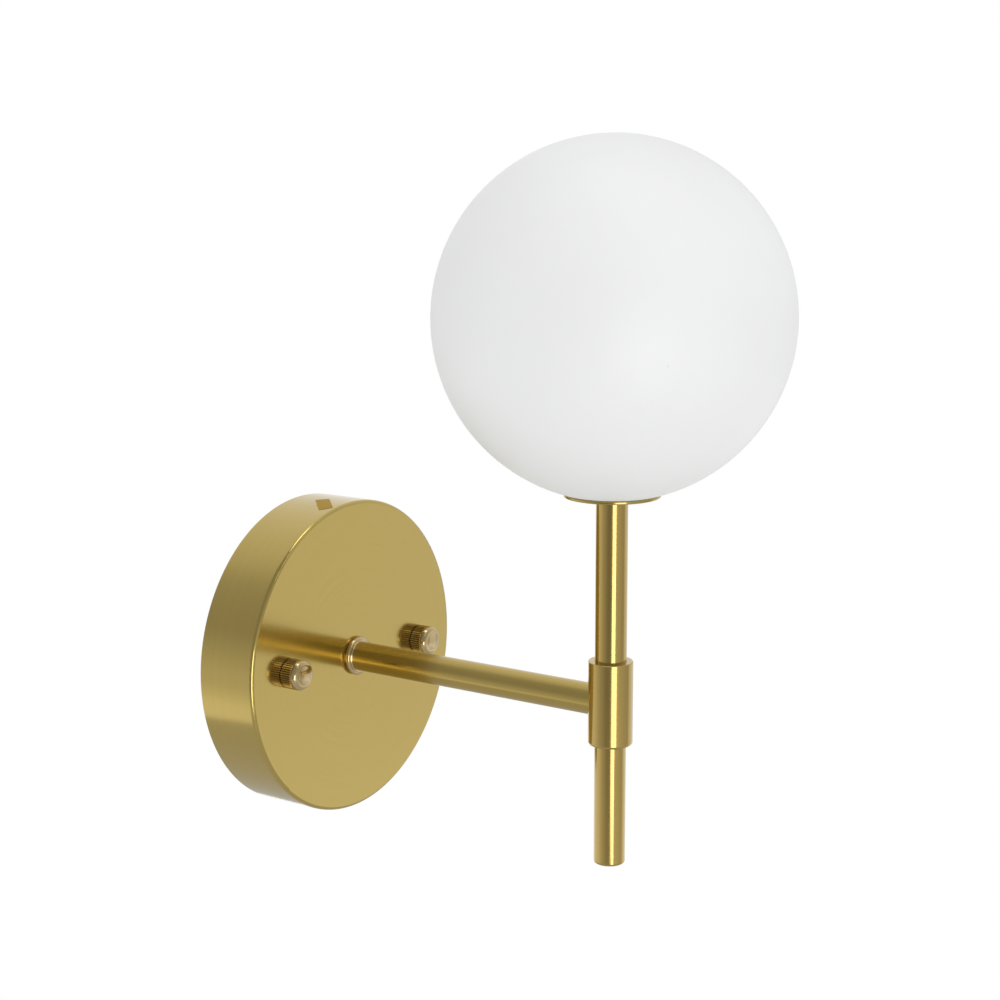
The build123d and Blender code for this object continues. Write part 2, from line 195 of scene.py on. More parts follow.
def makeHandlingGroup():
    # What handling leaves: cloudy patches and small specks
    tree, taken, given = openGroup("handling", (
        ("Place", "NodeSocketVector", None),
        ("Patch Scale", "NodeSocketFloat", 40.0),
        ("Speck Scale", "NodeSocketFloat", 180.0),
        ("Speck Size", "NodeSocketFloat", 0.06)), ("Patch", "Speck"))
    patch = noise(tree, taken.outputs["Place"], taken.outputs["Patch Scale"], detail=3.0)
    feed(tree, given.inputs["Patch"], spread(tree, patch, 0.3, 0.7, 0.0, 1.0))
    cells = addNode(tree, "ShaderNodeTexVoronoi")
    feed(tree, cells.inputs["Vector"], taken.outputs["Place"])
    feed(tree, cells.inputs["Scale"], taken.outputs["Speck Scale"])
    feed(tree, given.inputs["Speck"],
         spread(tree, cells.outputs["Distance"], 0.0, taken.outputs["Speck Size"], 1.0, 0.0))
    return tree


def makeTurningGroup():
    # Lathe lines: noise by the distance from an axis and the place along it
    tree, taken, given = openGroup("turning", (
        ("Place", "NodeSocketVector", None),
        ("Across Scale", "NodeSocketFloat", 3000.0),
        ("Along Scale", "NodeSocketFloat", 3000.0),
        ("Round Scale", "NodeSocketFloat", 1.5)), ("Streak",))
    x, y, z = separate(tree, taken.outputs["Place"])
    angle = sums(tree, "ARCTAN2", y, x)
    joined = addNode(tree, "ShaderNodeCombineXYZ")
    feed(tree, joined.inputs[0], times(tree, fromAxis(tree, x, y), taken.outputs["Across Scale"]))
    feed(tree, joined.inputs[1], times(tree, z, taken.outputs["Along Scale"]))
    feed(tree, joined.inputs[2], times(tree, sums(tree, "COSINE", angle), taken.outputs["Round Scale"]))
    feed(tree, given.inputs["Streak"], noise(tree, joined.outputs[0], 1.0, detail=4.0, roughness=0.6))
    return tree


# Dirt and painted shade in the grooves of a knurl, darker the deeper a point lies
grooveDirtAndShade = {"starts": 0.15, "full": 0.75, "share": 0.92}      # by how far down a groove it lies


def makeGrooveGroup(values):
    # For a knurled piece whose wall end is at height 0: the dirt and painted shade in its grooves, and 1
    # along its band
    tree, taken, given = openGroup("grooves", (
        ("Place", "NodeSocketVector", None),
        ("Radius", "NodeSocketFloat", 0.0068),
        ("Depth", "NodeSocketFloat", 0.0005),
        ("Band End", "NodeSocketFloat", 0.0064)), ("Groove", "Band"))
    x, y, z = separate(tree, taken.outputs["Place"])
    below = sums(tree, "SUBTRACT", taken.outputs["Radius"], fromAxis(tree, x, y))
    below = sums(tree, "DIVIDE", below, taken.outputs["Depth"])
    band = sums(tree, "LESS_THAN", z, taken.outputs["Band End"])
    dirtAndShade = spread(tree, below, values["starts"], values["full"], 0.0, values["share"])
    feed(tree, given.inputs["Band"], band)
    feed(tree, given.inputs["Groove"], times(tree, band, dirtAndShade))
    return tree


brushing = makeBrushGroup()
grooves = makeGrooveGroup(grooveDirtAndShade)
handling = makeHandlingGroup()
turning = makeTurningGroup()


def useGroup(tree, group, place, **values):
    # Places a group in a material: a value named patchScale goes to its input Patch Scale
    node = addNode(tree, "ShaderNodeGroup", node_tree=group)
    feed(tree, node.inputs["Place"], place)
    for name, value in values.items():
        label = name[0].upper() + "".join(" " + c if c.isupper() else c for c in name[1:])
        feed(tree, node.inputs[label], value)
    return node


def startMaterial(name, centre=(0, 0, 0), turned=(0, 0, 0)):
    # A new material, its shader, and its pattern's coordinates, moved and turned to a piece's axis
    material = bpy.data.materials.new(name)
    material.use_nodes = True
    tree = material.node_tree
    shader = tree.nodes["Principled BSDF"]
    where = addNode(tree, "ShaderNodeTexCoord")
    placed = addNode(tree, "ShaderNodeMapping", vector_type="TEXTURE")
    placed.inputs["Location"].default_value = centre
    placed.inputs["Rotation"].default_value = turned
    tree.links.new(where.outputs["Object"], placed.inputs["Vector"])
    return material, tree, shader, placed.outputs[0]


def bumpFrom(tree, shader, height, strength, distance):
    bump = addNode(tree, "ShaderNodeBump")
    bump.inputs["Strength"].default_value = strength
    bump.inputs["Distance"].default_value = distance
    feed(tree, bump.inputs["Height"], height)
    feed(tree, shader.inputs["Normal"], bump.outputs[0])


def addSpecks(tree, marks, tone, colour, share):
    # marks is a placed handling group
    return blendColours(tree, times(tree, marks.outputs["Speck"], share), tone, colour)


# Materials
satinBrass = {
    "colour": (0.530, 0.402, 0.112, 1),
    "paler": (0.570, 0.438, 0.134, 1),
    "deeper": (0.480, 0.352, 0.090, 1),
    "speck": (0.20, 0.13, 0.04, 1),
    "patchShare": 0.45,
    "speckShare": 0.30,
    "turnedGrain": 2600.0,       # lathe lines to a metre
    "roughness": 0.11,
    "roughnessSpread": 0.04,
    "patchRoughness": 0.03,
    "bumpStrength": 0.06,
    "bumpDistance": 0.00004,
    "lacquer": 0.40,
    "lacquerRoughness": 0.12,
}
canopySatin = dict(satinBrass, colour=(0.590, 0.444, 0.126, 1), paler=(0.632, 0.484, 0.150, 1),
                   deeper=(0.536, 0.390, 0.102, 1), roughness=0.13)
stemSatin = dict(satinBrass, colour=(0.540, 0.382, 0.104, 1), paler=(0.580, 0.418, 0.126, 1),
                 deeper=(0.490, 0.334, 0.084, 1), lacquer=0.60)
armSatin = dict(satinBrass, colour=(0.545, 0.402, 0.112, 1), paler=(0.585, 0.438, 0.134, 1),
                deeper=(0.495, 0.352, 0.090, 1), roughness=0.18, bumpStrength=0.10)


def finishMetal(tree, shader, lines, values):
    # The grain's relief, and the clear lacquer over it
    bumpFrom(tree, shader, lines.outputs["Streak"], values["bumpStrength"], values["bumpDistance"])
    shader.inputs["Metallic"].default_value = 1
    shader.inputs["Coat Weight"].default_value = values["lacquer"]
    shader.inputs["Coat Roughness"].default_value = values["lacquerRoughness"]


def makeSatinBrass(name, grain, values, centre=(0, 0, 0), turned=(0, 0, 0)):
    # grain is "turned", or how much finer the brushing is along each axis
    material, tree, shader, place = startMaterial(name, centre, turned)
    if grain == "turned":
        lines = useGroup(tree, turning, place, acrossScale=values["turnedGrain"],
                         alongScale=values["turnedGrain"], roundScale=1.2)
    else:
        lines = useGroup(tree, brushing, place, stretch=grain)
    marks = useGroup(tree, handling, place, patchScale=28.0, speckScale=120.0, speckSize=0.035)
    tone = blendColours(tree, lines.outputs["Streak"], values["deeper"], values["paler"])
    patch = times(tree, marks.outputs["Patch"], values["patchShare"])
    tone = blendColours(tree, patch, tone, values["colour"])
    tone = addSpecks(tree, marks, tone, values["speck"], values["speckShare"])
    feed(tree, shader.inputs["Base Color"], tone)
    rough = timesPlus(tree, lines.outputs["Streak"], values["roughnessSpread"], values["roughness"])
    rough = timesPlus(tree, marks.outputs["Patch"], values["patchRoughness"], rough)
    feed(tree, shader.inputs["Roughness"], rough)
    finishMetal(tree, shader, lines, values)
    return material


polishedBrass = {
    "colour": (0.640, 0.500, 0.270, 1),
    "deeper": (0.570, 0.430, 0.200, 1),
    # Tarnish and painted shade, in the grooves of a knurl
    "tarnishAndShade": (0.150, 0.098, 0.040, 1),     # in the grooves of a knurl
    "turnedGrain": 4000.0,
    "roughness": 0.12,
    "roughnessSpread": 0.06,
    "knurlRoughness": 0.16,
    "bumpStrength": 0.04,
    "bumpDistance": 0.00002,
    "lacquer": 0.5,
    "lacquerRoughness": 0.05,
}


def makePolishedBrass(name, values, centre=(0, 0, 0), turned=(0, 0, 0), knurl=None):
    material, tree, shader, place = startMaterial(name, centre, turned)
    lines = useGroup(tree, turning, place, acrossScale=values["turnedGrain"],
                     alongScale=values["turnedGrain"], roundScale=2.0)
    marks = useGroup(tree, handling, place, patchScale=160.0, speckScale=500.0, speckSize=0.05)
    tone = blendColours(tree, marks.outputs["Patch"], values["deeper"], values["colour"])
    rough = timesPlus(tree, lines.outputs["Streak"], values["roughnessSpread"], values["roughness"])
    if knurl:
        # The grooves of the knurled band are darkened with dirt and painted shade, and the whole band is
        # rougher
        dirtAndShade = useGroup(tree, grooves, place, radius=knurl["diameter"] / 2, depth=knurl["toothDepth"],
                        bandEnd=knurl["band"])
        tone = blendColours(tree, dirtAndShade.outputs["Groove"], tone, values["tarnishAndShade"])
        rough = timesPlus(tree, dirtAndShade.outputs["Band"], values["knurlRoughness"], rough)
    feed(tree, shader.inputs["Base Color"], tone)
    feed(tree, shader.inputs["Roughness"], rough)
    finishMetal(tree, shader, lines, values)
    return material


opalGlass = {
    "middle": stemAxis + Vector((0, 0, 0.1626)),
    "colour": (0.840, 0.848, 0.845, 1),
    "shade": (0.800, 0.806, 0.800, 1),
    "speck": (0.45, 0.44, 0.42, 1),
    "speckShare": 0.5,
    "grain": 900.0,
    "roughness": 0.46,
    "roughnessSpread": 0.06,
    "bumpStrength": 0.05,
    "bumpDistance": 0.00006,
    "depth": 0.10,               # share of the light that goes into the glass
    "depthScale": 0.004,         # metres
}


def makeOpalGlass(values):
    material, tree, shader, place = startMaterial("opalGlass", centre=values["middle"])
    marks = useGroup(tree, handling, place, patchScale=9.0, speckScale=62.0, speckSize=0.030)
    fine = noise(tree, place, values["grain"], detail=4.0, roughness=0.6)
    tone = blendColours(tree, marks.outputs["Patch"], values["shade"], values["colour"])
    tone = addSpecks(tree, marks, tone, values["speck"], values["speckShare"])
    feed(tree, shader.inputs["Base Color"], tone)
    rough = timesPlus(tree, marks.outputs["Patch"], values["roughnessSpread"], values["roughness"])
    feed(tree, shader.inputs["Roughness"], timesPlus(tree, fine, values["roughnessSpread"], rough))
    bumpFrom(tree, shader, fine, values["bumpStrength"], values["bumpDistance"])
    shader.inputs["IOR"].default_value = 1.5
    shader.inputs["Subsurface Weight"].default_value = values["depth"]
    shader.inputs["Subsurface Radius"].default_value = (1.0, 0.95, 0.9)
    shader.inputs["Subsurface Scale"].default_value = values["depthScale"]
    return material


plainShared = {"speckShare": 0.6, "roughnessSpread": 0.12, "bumpDistance": 0.00008, "depthScale": 0.002}


def makePlain(name, values, shared):
    # Plated steel, plastic, ceramic and rubber: two tones, a grain, specks and a fine bump
    material, tree, shader, place = startMaterial(name)
    marks = useGroup(tree, handling, place, patchScale=values["patch"], speckScale=values["speckScale"],
                     speckSize=values["speckSize"])
    fine = noise(tree, place, values["grain"], detail=3.0, roughness=0.6)
    tone = blendColours(tree, marks.outputs["Patch"], values["colour"], values["other"])
    tone = addSpecks(tree, marks, tone, values["speck"], shared["speckShare"])
    feed(tree, shader.inputs["Base Color"], tone)
    rough = timesPlus(tree, fine, shared["roughnessSpread"], values["roughness"])
    feed(tree, shader.inputs["Roughness"], rough)
    bumpFrom(tree, shader, fine, values["bump"], shared["bumpDistance"])
    shader.inputs["Metallic"].default_value = values["metal"]
    shader.inputs["Subsurface Weight"].default_value = values.get("depth", 0)
    shader.inputs["Subsurface Scale"].default_value = shared["depthScale"]
    return material


plainFinishes = {
    "zincSteel": dict(colour=(0.60, 0.61, 0.62, 1), other=(0.68, 0.68, 0.66, 1), speck=(0.30, 0.29, 0.27, 1),
                      patch=130, speckScale=400, speckSize=0.07, grain=5000, roughness=0.26, bump=0.10,
                      metal=1),
    "greenSteel": dict(colour=(0.045, 0.250, 0.075, 1), other=(0.070, 0.320, 0.110, 1),
                       speck=(0.35, 0.40, 0.33, 1), patch=300, speckScale=700, speckSize=0.06, grain=6000,
                       roughness=0.28, bump=0.08, metal=0.8),
    "blackPlastic": dict(colour=(0.020, 0.020, 0.021, 1), other=(0.032, 0.032, 0.033, 1),
                         speck=(0.10, 0.10, 0.10, 1), patch=200, speckScale=900, speckSize=0.05, grain=4000,
                         roughness=0.42, bump=0.20, metal=0),
    "silicone": dict(colour=(0.62, 0.62, 0.58, 1), other=(0.70, 0.70, 0.67, 1), speck=(0.40, 0.38, 0.34, 1),
                     patch=120, speckScale=500, speckSize=0.05, grain=3000, roughness=0.50, bump=0.12,
                     metal=0, depth=0.2),
    "turnedAluminium": dict(colour=(0.70, 0.71, 0.72, 1), other=(0.78, 0.78, 0.78, 1),
                            speck=(0.45, 0.45, 0.46, 1), patch=150, speckScale=600, speckSize=0.04,
                            grain=5200, roughness=0.24, bump=0.10, metal=1),
    "ceramic": dict(colour=(0.80, 0.78, 0.73, 1), other=(0.86, 0.85, 0.82, 1), speck=(0.48, 0.44, 0.38, 1),
                    patch=180, speckScale=650, speckSize=0.06, grain=2600, roughness=0.55, bump=0.25,
                    metal=0, depth=0.05),
    "nickelSteel": dict(colour=(0.62, 0.59, 0.53, 1), other=(0.70, 0.68, 0.63, 1),
                        speck=(0.35, 0.32, 0.28, 1), patch=260, speckScale=800, speckSize=0.05,
                        grain=6000, roughness=0.20, bump=0.06, metal=1),
    "whitePlastic": dict(colour=(0.78, 0.78, 0.76, 1), other=(0.83, 0.83, 0.81, 1),
                         speck=(0.60, 0.59, 0.56, 1), patch=150, speckScale=700, speckSize=0.04,
                         grain=3600, roughness=0.38, bump=0.10, metal=0, depth=0.05),
    "frostedCover": dict(colour=(0.82, 0.82, 0.80, 1), other=(0.87, 0.87, 0.86, 1),
                         speck=(0.70, 0.69, 0.66, 1), patch=120, speckScale=500, speckSize=0.04,
                         grain=4200, roughness=0.52, bump=0.12, metal=0, depth=0.25),
}

toWallAxis = (math.pi / 2, 0, 0)    # turns a pattern's Z axis onto the arm's
acrossTube, alongTube = 2400, 60    # how fine the brushing of the tubes is
canopyBrass = makeSatinBrass("canopyBrass", "turned", canopySatin, turned=toWallAxis)
armBrass = makeSatinBrass("armBrass", (acrossTube, alongTube, acrossTube), armSatin)
stemBrass = makeSatinBrass("stemBrass", (acrossTube, acrossTube, alongTube), stemSatin, centre=stemAxis)
plateBrass = makeSatinBrass("plateBrass", "turned", satinBrass, centre=stemAxis)
collarBrass = makePolishedBrass("collarBrass", polishedBrass, turned=toWallAxis)
bushBrass = makePolishedBrass("bushBrass", polishedBrass, turned=toWallAxis)
opal = makeOpalGlass(opalGlass)
plain = {name: makePlain(name, values, plainShared) for name, values in plainFinishes.items()}
print("materials made")

finishOf = {
    "canopy": canopyBrass, "arm_collar": collarBrass, "arm_tube": armBrass, "tee_sleeve": stemBrass,
    "stem_tube": stemBrass, "stem_end_cap": stemBrass, "globe_plate": plateBrass, "globe": opal,
    "arm_wall_bush": bushBrass, "arm_tee_bush": bushBrass, "stem_top_bush": bushBrass,
    "mounting_plate": plain["zincSteel"], "stud_lock_nuts": plain["zincSteel"],
    "ground_screw": plain["greenSteel"], "lead_bushing": plain["blackPlastic"],
    "canopy_lock_washer": plain["zincSteel"], "canopy_hex_nut": plain["zincSteel"],
    "globe_gasket": plain["silicone"], "holder_base": plain["zincSteel"], "holder_body": plain["ceramic"],
    "holder_contacts": plain["nickelSteel"], "holder_screws": plain["zincSteel"],
    "lamp_base": plain["whitePlastic"], "lamp_envelope": plain["frostedCover"],
    "lamp_pins": plain["nickelSteel"],
}


def dress(node, material):
    if not node.material_slots:
        node.data.materials.append(material)
    for slot in node.material_slots:
        slot.material = material


for name, material in finishOf.items():
    dress(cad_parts[name], material)
print("CAD nodes dressed:", len(finishOf))


# Turned pieces with knurls and threads
def stepped(start, end, step):
    # The points from start up to, but without, end, at most one step apart
    count = max(1, math.ceil(math.dist(start, end) / step))
    return [(start[0] + (end[0] - start[0]) * n / count, start[1] + (end[1] - start[1]) * n / count)
            for n in range(count)]


def arcPoints(centre, radius, fromDegrees, toDegrees, count):
    angles = [math.radians(fromDegrees + (toDegrees - fromDegrees) * n / count) for n in range(count + 1)]
    return [(centre[0] + radius * math.cos(a), centre[1] + radius * math.sin(a)) for a in angles]


def meshObject(name, shape):
    # An object with a finished bmesh as its mesh
    mesh = bpy.data.meshes.new(name)
    shape.to_mesh(mesh)
    shape.free()
    return addObject(name, mesh)


def turnOnLathe(name, outline, segments):
    # Closed outline of (radius, height) points, turned round the Z axis
    shape = bmesh.new()
    rings = []
    for radius, height in outline:
        rings.append([shape.verts.new((radius * math.cos(fullTurn * n / segments),
                                       radius * math.sin(fullTurn * n / segments), height))
                      for n in range(segments)])
    for one, two in zip(rings, rings[1:] + rings[:1]):
        for n in range(segments):
            m = (n + 1) % segments
            shape.faces.new((one[n], one[m], two[m], two[n]))
    bmesh.ops.remove_doubles(shape, verts=shape.verts, dist=1e-8)
    bmesh.ops.dissolve_degenerate(shape, edges=shape.edges, dist=1e-8)
    bmesh.ops.recalc_face_normals(shape, faces=shape.faces)
    return meshObject(name, shape)


def openShapeTree(name, takes):
    tree = bpy.data.node_groups.new(name, "GeometryNodeTree")
    tree.interface.new_socket("Geometry", in_out="INPUT", socket_type="NodeSocketGeometry")
    for label, value in takes:
        socket = tree.interface.new_socket(label, in_out="INPUT", socket_type="NodeSocketFloat")
        socket.default_value = value
    tree.interface.new_socket("Finish", in_out="INPUT", socket_type="NodeSocketMaterial")
    tree.interface.new_socket("Geometry", in_out="OUTPUT", socket_type="NodeSocketGeometry")
    return tree, addNode(tree, "NodeGroupInput"), addNode(tree, "NodeGroupOutput")


def closeShapeTree(tree, taken, given, inward):
    # Moves the points towards the axis by inward metres, then sets the finish
    place = addNode(tree, "GeometryNodeInputPosition").outputs[0]
    flat = addNode(tree, "ShaderNodeVectorMath", operation="MULTIPLY")
    feed(tree, flat.inputs[0], place)
    flat.inputs[1].default_value = (1, 1, 0)
    outwards = addNode(tree, "ShaderNodeVectorMath", operation="NORMALIZE")
    feed(tree, outwards.inputs[0], flat.outputs[0])
    shift = addNode(tree, "ShaderNodeVectorMath", operation="SCALE")
    feed(tree, shift.inputs[0], outwards.outputs[0])
    feed(tree, shift.inputs["Scale"], times(tree, inward, -1.0))
    moved = addNode(tree, "GeometryNodeSetPosition")
    feed(tree, moved.inputs["Geometry"], taken.outputs["Geometry"])
    feed(tree, moved.inputs["Offset"], shift.outputs[0])
    real = addNode(tree, "GeometryNodeRealizeInstances")
    feed(tree, real.inputs[0], moved.outputs[0])
    finished = addNode(tree, "GeometryNodeSetMaterial")
    feed(tree, finished.inputs["Geometry"], real.outputs[0])
    feed(tree, finished.inputs["Material"], taken.outputs["Finish"])
    feed(tree, given.inputs["Geometry"], finished.outputs[0])


def polarPlace(tree):
    # A point's distance from the Z axis, its turns round it and its height
    x, y, z = separate(tree, addNode(tree, "GeometryNodeInputPosition").outputs[0])
    turns = sums(tree, "DIVIDE", sums(tree, "ARCTAN2", y, x), fullTurn)
    return fromAxis(tree, x, y), turns, z


def zigzag(tree, value):
    # 0 at whole numbers, 1 half way between them
    part = sums(tree, "SUBTRACT", sums(tree, "FRACT", value), 0.5)
    return sums(tree, "SUBTRACT", 1.0, times(tree, sums(tree, "ABSOLUTE", part), 2.0))


def fadeBetween(tree, value, low, high, run):
    # 1 between low and high, down to 0 over one run at either end
    rise = spread(tree, value, low, sums(tree, "ADD", low, run), 0.0, 1.0)
    fall = spread(tree, value, sums(tree, "SUBTRACT", high, run), high, 1.0, 0.0)
    return sums(tree, "MINIMUM", rise, fall)


def cutInto(tree, taken, given, wave, place, run, skinShare):
    # Cuts a wave of depth Depth between Start and End, into points that are near the outside radius
    radius, height = place
    band = fadeBetween(tree, height, taken.outputs["Start"], taken.outputs["End"], run)
    skin = sums(tree, "GREATER_THAN", radius, times(tree, taken.outputs["Radius"], skinShare))
    depth = times(tree, times(tree, wave, taken.outputs["Depth"]), band)
    closeShapeTree(tree, taken, given, times(tree, depth, skin))
    return tree


def makeKnurlTree():
    tree, taken, given = openShapeTree("straightKnurl", (
        ("Teeth", 40.0), ("Depth", 0.0003), ("Radius", 0.0068), ("Start", 0.0), ("End", 0.007),
        ("Run", 0.0004)))
    radius, turns, height = polarPlace(tree)
    wave = zigzag(tree, times(tree, turns, taken.outputs["Teeth"]))
    return cutInto(tree, taken, given, wave, (radius, height), taken.outputs["Run"], skinShare=0.9)


def makeThreadTree():
    tree, taken, given = openShapeTree("outsideThread", (
        ("Pitch", 0.001), ("Depth", 0.0005), ("Radius", 0.005), ("Start", 0.0), ("End", 0.02)))
    radius, turns, height = polarPlace(tree)
    wave = zigzag(tree, sums(tree, "SUBTRACT", sums(tree, "DIVIDE", height, taken.outputs["Pitch"]), turns))
    return cutInto(tree, taken, given, wave, (radius, height), taken.outputs["Pitch"], skinShare=0.96)


knurlTree = makeKnurlTree()
threadTree = makeThreadTree()


def runTree(piece, tree, finish, values):
    # Runs a Geometry Nodes tree on the piece and keeps the result as its plain mesh
    modifier = piece.modifiers.new("shaping", "NODES")
    modifier.node_group = tree
    keys = {item.name: item.identifier for item in tree.interface.items_tree
            if item.item_type == "SOCKET" and item.in_out == "INPUT"}
    for name, value in values.items():
        modifier[keys[name]] = float(value)
    modifier[keys["Finish"]] = finish
    bpy.context.view_layer.update()
    evaluated = piece.evaluated_get(bpy.context.evaluated_depsgraph_get())
    made = bpy.data.meshes.new_from_object(evaluated)
    piece.modifiers.clear()
    piece.data = made


def settle(piece, where, softAngle=32):
    # Moves the mesh to its place, with the object itself at the origin, and shades it
    piece.data.transform(where)
    piece.data.shade_smooth()
    piece.data.set_sharp_from_angle(angle=math.radians(softAngle))
    return piece


def join(name, pieces):
    # One object from several, in the order given
    shape = bmesh.new()
    for piece in pieces:
        shape.from_mesh(piece.data)
    joined = meshObject(name, shape)
    for material in pieces[0].data.materials:
        joined.data.materials.append(material)
    for piece in pieces:
        bpy.data.objects.remove(piece)
    return joined


def outOfWall(x, z, distance):
    # Turns a piece's Z axis out of the wall, to a point of the canopy
    return Matrix.Translation((x, -distance, z)) @ Matrix.Rotation(math.pi / 2, 4, "X")


def nodeMiddle(name):
    low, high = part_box(name)
    return (low + high) / 2


# Knurled cap nuts
capNut = {
    "diameter": 0.0136,
    "band": 0.0064,              # length of the knurled band
    "shoulder": 0.0024,          # radius of the rounded shoulder
    "dome": 0.0008,              # how far the end's dome stands up
    "chamfer": 0.0005,
    "bore": 0.0043,
    "boreDepth": 0.0072,
    "teeth": 40,
    "toothDepth": 0.00048,
    "toothStart": -0.0002,       # just under the wall end, which the teeth are cut through
    "toothFade": 0.0003,         # over which a tooth's groove runs out at the band's ends
    "segments": 160,             # four to a tooth
    "step": 0.0005,              # between the rings of points along the band
    "line": 0.00022,             # depth of the turned line between the band and the polished end
    "lineStarts": (0.0006, 0.0004, 0.00015),    # its near edge, floor and far edge, from the band's end
    "shoulderStart": 8,          # degrees of the shoulder's arc at the band
}


def seatOf(node):
    # The middle of a cap nut's wall end
    middle = nodeMiddle(node)
    return Vector((middle.x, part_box(node)[1].y, middle.z))


def makeCapNut(name, node, values, finish):
    radius, band, shoulder = values["diameter"] / 2, values["band"], values["shoulder"]
    inner = radius - shoulder
    top = band + shoulder + values["dome"]
    curve = (inner ** 2 + values["dome"] ** 2) / (2 * values["dome"])
    spreadAngle = math.degrees(math.asin(inner / curve))
    bore = values["bore"] / 2
    edge, floor, farEdge = (band - start for start in values["lineStarts"])
    outline = [(0, values["boreDepth"]), (bore, values["boreDepth"]), (bore, 0.0)]
    outline += [(radius - values["chamfer"], 0.0)]
    outline += stepped((radius, values["chamfer"]), (radius, edge), values["step"])
    outline += [(radius, edge), (radius - values["line"], floor), (radius - values["line"], farEdge),
                (radius, band)]
    outline += arcPoints((inner, band), shoulder, values["shoulderStart"], 90, count=10)
    outline += arcPoints((0, top - curve), curve, 90 - spreadAngle, 90, count=8)[1:]
    outline[-1] = (0, top)
    piece = turnOnLathe(name, outline, values["segments"])
    runTree(piece, knurlTree, finish, {
        "Teeth": values["teeth"], "Depth": values["toothDepth"], "Radius": radius,
        "Start": values["toothStart"], "End": floor, "Run": values["toothFade"]})
    seat = seatOf(node)
    settle(piece, outOfWall(seat.x, seat.z, -seat.y), softAngle=25)
    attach(piece, node)
    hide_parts(node)


for side in ("left", "right"):
    node = side + "_cap_nut"
    finish = makePolishedBrass(side + "NutBrass", polishedBrass, centre=seatOf(node), turned=toWallAxis,
                               knurl=capNut)
    makeCapNut(side + "CapNut", node, capNut, finish)
print("cap nuts made")


# Threaded rods, studs and the ring that holds the globe
rod = {"outer": 0.0050, "bore": 0.0036, "pitch": 0.001, "depth": 0.00055, "chamfer": 0.0006, "segments": 40}
rods = (    # each with its node, and the axis it lies along
    ("canopyNipple", "canopy_nipple", "wall"),
    ("teeNipple", "tee_nipple", "wall"),
    ("holderNipple", "holder_nipple", "stem"),
)


def makeRod(name, node, along, values):
    low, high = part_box(node)
    length = high.y - low.y if along == "wall" else high.z - low.z
    outer, bore, cut = values["outer"], values["bore"], values["chamfer"]
    outline = [(bore, 0.0), (outer - cut, 0.0)]
    outline += stepped((outer, cut), (outer, length - cut), values["pitch"] / 4)
    outline += [(outer, length - cut), (outer - cut, length), (bore, length)]
    piece = turnOnLathe(name, outline, values["segments"])
    runTree(piece, threadTree, plain["zincSteel"], {    # the thread runs out at both ends
        "Pitch": values["pitch"], "Depth": values["depth"], "Radius": outer,
        "Start": -values["pitch"], "End": length + values["pitch"]})
    middle = (low + high) / 2
    if along == "wall":
        where = outOfWall(middle.x, middle.z, -high.y)
    else:
        where = Matrix.Translation((middle.x, middle.y, low.z))
    settle(piece, where)
    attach(piece, "fixture")
    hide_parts(node)


for name, node, along in rods:
    makeRod(name, node, along, rod)

stud = {
    "outer": 0.0020, "pitch": 0.0007, "depth": 0.00038, "chamfer": 0.0004, "segments": 32,
    "head": 0.0040, "headStart": 0.0006, "headEnd": 0.0030, "headRadius": 0.0008, "end": 0.0360,
    "neck": 0.0002, "bareShank": 0.0015, "overrun": 0.0005,
}


def makeStuds(values):
    outer, cut = values["outer"], values["chamfer"]
    edge = values["headRadius"]
    outline = [(0, values["headStart"])]
    outline += arcPoints((values["head"] - edge, values["headStart"] + edge), edge, -90, 0, count=6)
    outline += [(values["head"], values["headEnd"]), (outer, values["headEnd"])]
    outline += stepped((outer, values["headEnd"] + values["neck"]), (outer, values["end"] - cut),
                       values["pitch"] / 4)
    outline += [(outer, values["end"] - cut), (outer - cut, values["end"]), (0, values["end"])]
    pieces = []
    for side in ("left", "right"):
        piece = turnOnLathe(side + "Stud", outline, values["segments"])
        runTree(piece, threadTree, plain["zincSteel"], {
            "Pitch": values["pitch"], "Depth": values["depth"], "Radius": outer,
            "Start": values["headEnd"] + values["bareShank"], "End": values["end"] + values["overrun"]})
        centre = nodeMiddle(side + "_cap_nut")
        pieces.append(settle(piece, outOfWall(centre.x, centre.z, 0)))
    studs = join("studScrews", pieces)
    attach(studs, "fixture")
    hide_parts("stud_screws")


makeStuds(stud)

ringPiece = {
    "outer": 0.0139, "wall": 0.0012, "floor": 0.0012, "hole": 0.00505, "pitch": 0.003, "depth": 0.0006,
    "chamfer": 0.0003, "threadStart": 0.0004, "overrun": 0.002, "segments": 120,
}


def makeGlobeRing(values):
    low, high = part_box("threaded_ring")
    outer, height, cut = values["outer"], high.z - low.z, values["chamfer"]
    inner = outer - values["wall"]
    outline = [(values["hole"], 0.0), (outer - cut, 0.0)]
    outline += stepped((outer, cut), (outer, height - cut), values["pitch"] / 12)
    outline += [(outer, height - cut), (outer - cut, height), (inner, height), (inner, values["floor"]),
                (values["hole"], values["floor"])]
    piece = turnOnLathe("threadedRing", outline, values["segments"])
    runTree(piece, threadTree, plain["turnedAluminium"], {
        "Pitch": values["pitch"], "Depth": values["depth"], "Radius": outer,
        "Start": values["threadStart"], "End": height + values["overrun"]})
    settle(piece, Matrix.Translation((stemAxis.x, stemAxis.y, low.z)))
    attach(piece, "fixture")
    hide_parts("threaded_ring")


makeGlobeRing(ringPiece)
print("threads made")


